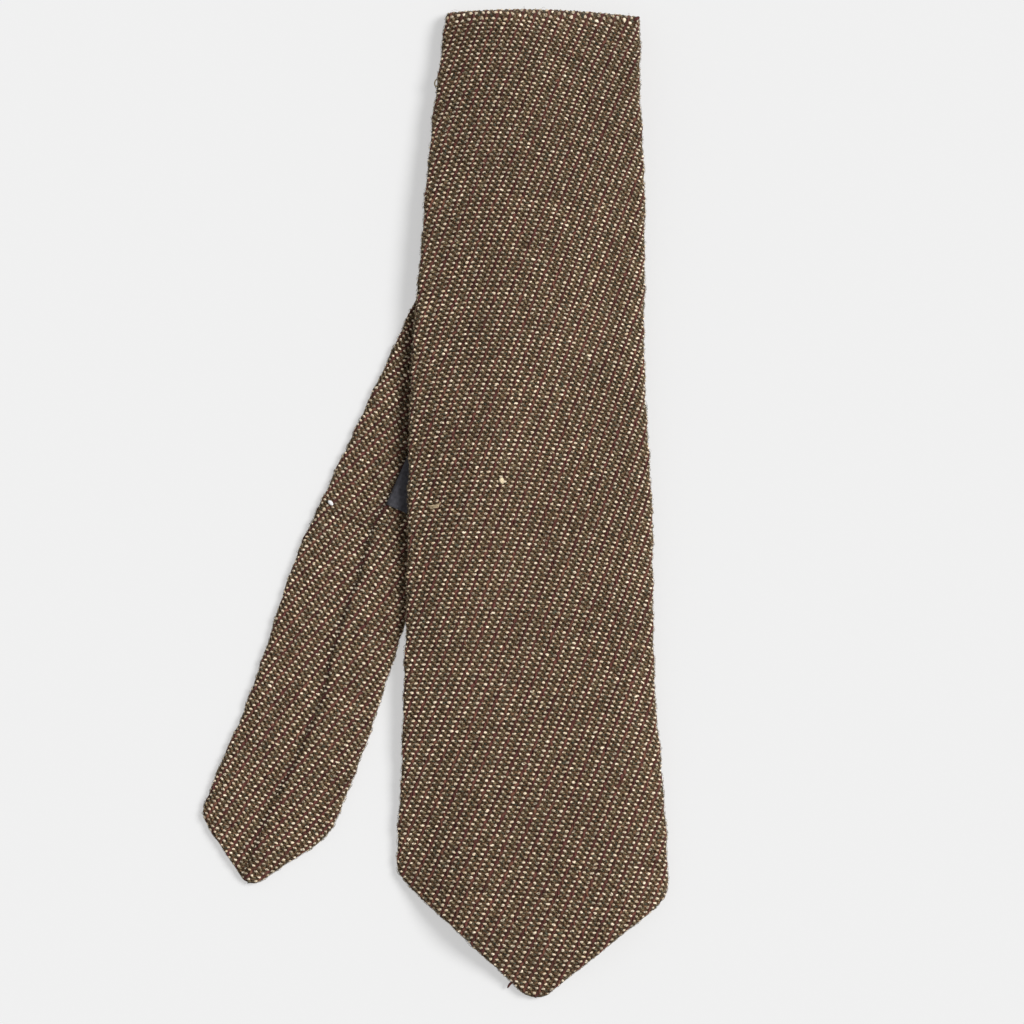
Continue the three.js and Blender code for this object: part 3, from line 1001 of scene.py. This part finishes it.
class Shader:
    """A material built from its nodes."""

    def __init__(self, name):
        self.material = bpy.data.materials.new(name)
        self.material.use_nodes = True
        self.tree = self.material.node_tree
        self.tree.nodes.clear()

    def put(self, socket, value):
        if isinstance(value, bpy.types.NodeSocket):
            self.tree.links.new(value, socket)
        elif socket.type == "RGBA":
            socket.default_value = (*value, 1)
        else:
            socket.default_value = value

    def node(self, kind, inputs, **settings):
        node = self.tree.nodes.new("ShaderNode" + kind)
        for key, value in settings.items():
            setattr(node, key, value)
        for key, value in inputs.items():
            self.put(node.inputs[key], value)
        return node

    def math(self, operation, *values):
        return self.node("Math", dict(enumerate(values)), operation=operation).outputs[0]

    def times(self, a, b):
        return self.math("MULTIPLY", a, b)

    def mix(self, share, a, b):
        return self.node("Mix", {0: share, 6: a, 7: b}, data_type="RGBA").outputs[2]

    def scale(self, color, amount):
        return self.node("VectorMath", {0: color, "Scale": amount}, operation="SCALE").outputs[0]

    def noise(self, vector, scale, detail):
        return self.node("TexNoise", {"Vector": vector, "Scale": scale, "Detail": detail}).outputs[0]

    def between(self, *values):
        return self.node("MapRange", dict(enumerate(values)), interpolation_type="SMOOTHSTEP").outputs[0]

    def split(self, vector):
        return self.node("SeparateXYZ", {0: vector}).outputs

    def attribute(self, name, output):
        return self.node("Attribute", {}, attribute_name=name).outputs[output]

    def place(self):
        return self.node("TexCoord", {}).outputs["Object"]

    def tone(self, fibre, tones):
        """The mesh's tone, with the painted shade and highlights set on its points, speckled by its fibres.
        """
        return self.times(self.attribute("tone", "Fac"), self.between(fibre, *BAND, *tones))

    def finish(self, color, height, depth, roughness, sheen, gloss, glow=0.0):
        bump = self.node("Bump", {"Height": height, "Distance": depth, "Strength": 1.0})
        inputs = {
            "Base Color": color,
            "Roughness": roughness,
            "Normal": bump.outputs[0],
            "Sheen Weight": sheen,
            "Sheen Roughness": SHEEN_ROUGHNESS,
            "Specular IOR Level": gloss,
            "Emission Color": WHITE,
            "Emission Strength": glow,
        }
        shader = self.node("BsdfPrincipled", inputs)
        self.node("OutputMaterial", {"Surface": shader.outputs[0]})
        return self.material


# Colours: linear red, green and blue
CREAM = (0.99, 0.855, 0.65)
TAN = (0.6, 0.465, 0.3)
MAROON = (0.115, 0.037, 0.032)
ROSE = (0.17, 0.075, 0.047)
OLIVE = (0.255, 0.2, 0.115)
SLATE = (0.092, 0.09, 0.064)
UMBER = (0.23, 0.13, 0.073)
GAP = (0.024, 0.011, 0.004)
MOTTLE = (0.125, 0.075, 0.04)
LOOSE_TAN = (0.46, 0.36, 0.22)
PULLED_TAN = (0.78, 0.62, 0.4)
NUB_CREAM = (0.85, 0.71, 0.48)
LABEL_NAVY = (0.09, 0.089, 0.104)
LINT_WHITE = (0.9, 0.9, 0.9)
SEAM_BROWN = (0.06, 0.035, 0.025)
# A stitch's colours at one end and at the other, from the stitches on top to the lowest
YARN_COLORS = {
    "wide_dots": (CREAM, TAN), "small_dots": (CREAM, TAN), "ribs": (MAROON, ROSE),
    "strands": (OLIVE, SLATE), "flecks": (UMBER, SLATE),
}

# Surfaces: depth of the bump in metres, roughness, sheen, gloss
YARN_SURFACE = (0.00012, 0.9, 0.06, 0.12)
CLOTH_SURFACE = (0.0008, 0.92, 0.06, 0.12)
LABEL_SURFACE = (0.00009, 0.55, 0.05, 0.25)
FLOOR_SURFACE = (0.00002, 0.9, 0.0, 0.25)

# Noise: scale and detail, the band of its values that is used, and the tones that the band gives
FIBRE = (9000, 3.0)
BAND = (0.3, 0.7)
YARN_TONES = (0.82, 1.16)
CLOTH_TONES = (0.8, 1.15)
LABEL_CLOUD = (700.0, 3.0)
LABEL_TONES = (0.8, 1.3)
MOTTLE_CLOUD = (2300, 1.0)
MOTTLE_BAND = (0.4, 0.65)
WANDER_CLOUD = (900.0, 1.0)
WANDER = 0.16
FIBRE_RELIEF = 0.12
SPOT_FADE = (0.55, 1.15)

# Plies of a yarn and threads of the ribbon: waves along and across, their share of tone and relief
PLY_ALONG, PLY_ACROSS = 9.0, 4.0
PLY_TONE, PLY_RELIEF = 0.06, 0.35
RIB_WAVE, WARP_WAVE = 16.0, 22.0
WARP_SHARE = 0.4
WEAVE_TONE = 0.06


def yarn_material(name, near, far):
    """Spun wool, twisted and fibrous, from the colour of a stitch's near end to that of its far end."""
    shader = Shader(name)
    fibre = shader.noise(shader.place(), *FIBRE)
    u, v, _ = shader.split(shader.attribute("yarn", "Vector"))
    twist = shader.math("ADD", shader.times(u, PLY_ALONG), shader.times(v, PLY_ACROSS))
    ply = shader.math("SINE", twist)
    color = shader.mix(shader.attribute("shade", "Fac"), near, far)
    tone = shader.times(shader.tone(fibre, YARN_TONES), shader.math("MULTIPLY_ADD", ply, PLY_TONE, 1.0))
    height = shader.math("MULTIPLY_ADD", ply, PLY_RELIEF, fibre)
    return shader.finish(shader.scale(color, tone), height, *YARN_SURFACE)


def turns_across(stitch):
    """Half a stitch's width in turns of the lattice as it lies in the middle of the blade."""

    def step(columns, rows):
        return reach(FRONT_KNIT, 0, BLADE_LENGTH / 2, columns, rows)

    long = np.array(step(*stitch.long))
    across = np.array((-long[1], long[0])) * stitch.width / np.linalg.norm(long)
    steps = np.column_stack((step(1, 0), step(0, 1)))
    return [float(turn) for turn in np.linalg.solve(steps, across)]


def spot(shader, x, y, at, long, short):
    """Share of a spot of the knit pattern, an ellipse that repeats over the lattice."""
    size = long[0] * short[1] - long[1] * short[0]

    def from_centre(value, centre):
        return shader.math("SUBTRACT", shader.math("FRACT", shader.math("ADD", value, 0.5 - centre)), 0.5)

    def axis(first, first_share, second, second_share):
        first = shader.times(first, first_share / size)
        return shader.math("SUBTRACT", first, shader.times(second, second_share / size))

    columns = shader.times(from_centre(x, at[0] / REPEAT), REPEAT)
    rows = from_centre(y, at[1] % 1)
    u = axis(columns, short[1], rows, short[0])
    v = axis(rows, long[0], columns, long[1])
    square = shader.math("ADD", shader.times(u, u), shader.times(v, v))
    return shader.between(square, *SPOT_FADE, 1.0, 0.0)


def cloth_material():
    """The same stitches painted, for the cloth under them and for the sides that lie down."""
    shader = Shader("cloth")
    place = shader.place()
    fibre = shader.noise(place, *FIBRE)
    wander = shader.noise(place, *WANDER_CLOUD)
    knit = shader.node("UVMap", {}, uv_map="knit").outputs[0]
    shift = shader.math("MULTIPLY_ADD", wander, WANDER, -WANDER / 2)
    x, y = (shader.math("ADD", count, shift) for count in shader.split(knit)[:2])
    mottle = shader.between(shader.noise(place, *MOTTLE_CLOUD), *MOTTLE_BAND, 0.0, 1.0)
    color = shader.mix(mottle, GAP, MOTTLE)
    height = 0.0
    for kind, (tint, _) in reversed(YARN_COLORS.items()):
        stitch = STITCHES[kind]
        share = spot(shader, x, y, stitch.at, stitch.long, turns_across(stitch))
        color = shader.mix(share, color, tint)
        height = shader.math("MAXIMUM", height, shader.times(share, stitch.rise))
    height = shader.math("MULTIPLY_ADD", fibre, FIBRE_RELIEF, height)
    return shader.finish(shader.scale(color, shader.tone(fibre, CLOTH_TONES)), height, *CLOTH_SURFACE)


def label_material():
    """Woven ribbon: fine ribs across it and finer threads along it."""
    shader = Shader("label")
    across, along, _ = shader.split(shader.attribute("yarn", "Vector"))
    rib = shader.math("SINE", shader.times(along, RIB_WAVE))
    warp = shader.math("SINE", shader.times(across, WARP_WAVE))
    weave = shader.math("MULTIPLY_ADD", warp, WARP_SHARE, rib)
    tone = shader.between(shader.noise(shader.place(), *LABEL_CLOUD), *BAND, *LABEL_TONES)
    tone = shader.times(tone, shader.math("MULTIPLY_ADD", weave, WEAVE_TONE, 1.0))
    return shader.finish(shader.scale(LABEL_NAVY, tone), weave, *LABEL_SURFACE)


# The pieces
random = np.random.default_rng(SEED)
cloth = cloth_material()
SEAM_GAP = PIECE_GAP * math.hypot(1, SEAM_SLOPE)
front_cloth = cloth_piece("front_cloth", TIP_TRIM, NECK_FROM_BLADE, FRONT, cloth)
neck_cloth = cloth_piece("neck_cloth", NECK_FROM_BLADE + SEAM_GAP, TAIL_START - SEAM_GAP, None, cloth)
tail_cloth = cloth_piece("tail_cloth", TAIL_START, TOTAL_LENGTH - TIP_TRIM, BACK, cloth)
label = label_ribbon(label_material())
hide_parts("front_blade")
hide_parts("neck_band")
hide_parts("tail_blade")
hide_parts("care_label")

for kind, colors in YARN_COLORS.items():
    yarn = yarn_material(f"{kind}_wool", *colors)
    for name, patches in (("front", ("front",)), ("tail", ("tail_left", "tail_right"))):
        parts = [stitch_mesh(PATCHES[patch], kind, random) for patch in patches]
        make_piece(f"{name}_{kind}", join(parts), yarn)

hair_parts = [
    hairs(patch, count, lengths, radii, at_edges, random)
    for counts, lengths, radii, at_edges in HAIRS
    for patch, count in zip(PATCHES.values(), counts)
]
make_piece("wool_hairs", join(hair_parts), yarn_material("loose_wool", LOOSE_TAN, OLIVE))
make_piece("seam_stitches", slip_stitches(random), yarn_material("seam_thread", SEAM_BROWN, GAP))

# A frayed thread that is pulled out of the blade: strands between its chord and its arc
PULLED = np.array((
    # across (w), along (s), over the face
    (-36.6, 173.0, 0.0), (-35.2, 172.3, 0.4), (-33.9, 172.2, 0.6), (-32.8, 172.8, 0.5), (-32.3, 173.8, 0.0),
))
PULLED_STRANDS = 14
PULLED_FROM, PULLED_TO = 0.35, 1.05
PULLED_SPREAD = 0.22
PULLED_RADIUS = 0.17


def pulled_thread(random):
    chord = np.linspace(PULLED[0], PULLED[-1], len(PULLED))
    strands = [
        thread_path(
            chord + (PULLED - chord) * bulge + random.normal(0, PULLED_SPREAD, PULLED.shape),
            FRONT, THREAD_POINTS,
        )
        for bulge in np.linspace(PULLED_FROM, PULLED_TO, PULLED_STRANDS)
    ]
    mesh_data = tubes(np.array(strands), np.full(PULLED_STRANDS, PULLED_RADIUS * MM), THREAD_SIDES)
    mesh_data["shade"] = np.repeat(random.random(PULLED_STRANDS), THREAD_POINTS * THREAD_SIDES)
    return mesh_data


make_piece("pulled_thread", pulled_thread(random), yarn_material("frayed_wool", PULLED_TAN, LOOSE_TAN))

# Threads that stand out past the blade's edge: radius, wool, places across, along and over its middle
maroon_thread = yarn_material("maroon_thread", MAROON, ROSE)
olive_thread = yarn_material("olive_thread", OLIVE, SLATE)
LOOSE_THREADS = {
    "thread_end": (0.46, maroon_thread, (
        (-5.6, 6.0, 0.2), (-6.8, 5.5, 0.3), (-7.6, 4.9, 0.1), (-8.1, 4.2, -0.3), (-8.5, 3.4, -0.7),
    )),
    "edge_loop": (0.24, olive_thread, (
        (-33.0, 322.8, 0.6), (-33.7, 322.5, 0.9), (-34.1, 321.5, 0.9), (-34.0, 320.4, 0.7),
        (-33.1, 319.8, 0.4),
    )),
    "corner_knot": (0.6, maroon_thread, (
        (35.8, 343.0, 0.3), (36.6, 343.7, 0.4), (37.3, 344.2, 0.0), (37.7, 344.1, -0.6),
    )),
}
for name, (radius, wool, places) in LOOSE_THREADS.items():
    make_piece(name, thread(free_path(places, THREAD_POINTS), radius, THREAD_SIDES), wool)

# Lumps of fibre: centre across, along and over the face, size, turn, face and unevenness
nub = lump((-10.6, 181.8, 0.45), (0.95, 1.2, 0.7), 0.2, FRONT, 0.12, random)
make_piece("wool_nub", nub, yarn_material("nub_wool", NUB_CREAM, TAN))
lint = lump((-21.8, TOTAL_LENGTH - 134.6, 0.55), (1.2, 0.68, 0.45), 0.4, BACK, 0.0, random)
lint["tone"] = np.ones(len(lint["points"]))
make_piece("lint_speck", lint, yarn_material("lint", LINT_WHITE, LINT_WHITE))

# Floor, light and camera, in metres
FLOOR_SIZE = 6
FLOOR_DEPTH = 0.02
PAPER_GRAIN = (300.0, 2.0)
FLOOR_GREY = (0.385, 0.385, 0.385)
FLOOR_GLOW = 0.462
SUN_STRENGTH = 3.0
SUN_SPREAD = math.radians(26)
SUN_LOW = math.radians(47)
SUN_TURN = math.radians(21)
WORLD_LIGHT = 0.36
PHOTO_MIDDLE = (0.02665, -0.00299)
PHOTO_WIDTH = 0.3603
CAMERA_HEIGHT = 3.0
SENSOR_WIDTH = 36


def floor_piece():
    half = FLOOR_SIZE / 2
    corners = [(x, y, z) for z in (-FLOOR_DEPTH, 0) for y in (-half, half) for x in (-half, half)]
    faces = ((0, 2, 3, 1), (4, 5, 7, 6), (0, 1, 5, 4), (1, 3, 7, 5), (3, 2, 6, 7), (2, 0, 4, 6))
    mesh = bpy.data.meshes.new("floor")
    mesh.from_pydata(corners, [], faces)
    shader = Shader("floor")
    paper = shader.noise(shader.place(), *PAPER_GRAIN)
    mesh.materials.append(shader.finish(FLOOR_GREY, paper, *FLOOR_SURFACE, FLOOR_GLOW))
    return new_object("floor", mesh)


floor_piece()

sun = bpy.data.lights.new("soft_sun", "SUN")
sun.energy = SUN_STRENGTH
sun.angle = SUN_SPREAD
new_object("soft_sun", sun).rotation_euler = (0, math.pi / 2 - SUN_LOW, SUN_TURN)

world = bpy.data.worlds.new("studio")
world.use_nodes = True
background = world.node_tree.nodes["Background"]
background.inputs["Color"].default_value = (*WHITE, 1)
background.inputs["Strength"].default_value = WORLD_LIGHT
bpy.context.scene.world = world

camera = bpy.data.cameras.new("camera")
camera.sensor_width = SENSOR_WIDTH
camera.lens = camera.sensor_width * CAMERA_HEIGHT / PHOTO_WIDTH
camera_place = new_object("camera", camera)
camera_place.location = (*PHOTO_MIDDLE, CAMERA_HEIGHT)
bpy.context.scene.camera = camera_place
bpy.context.scene.view_settings.view_transform = "Standard"
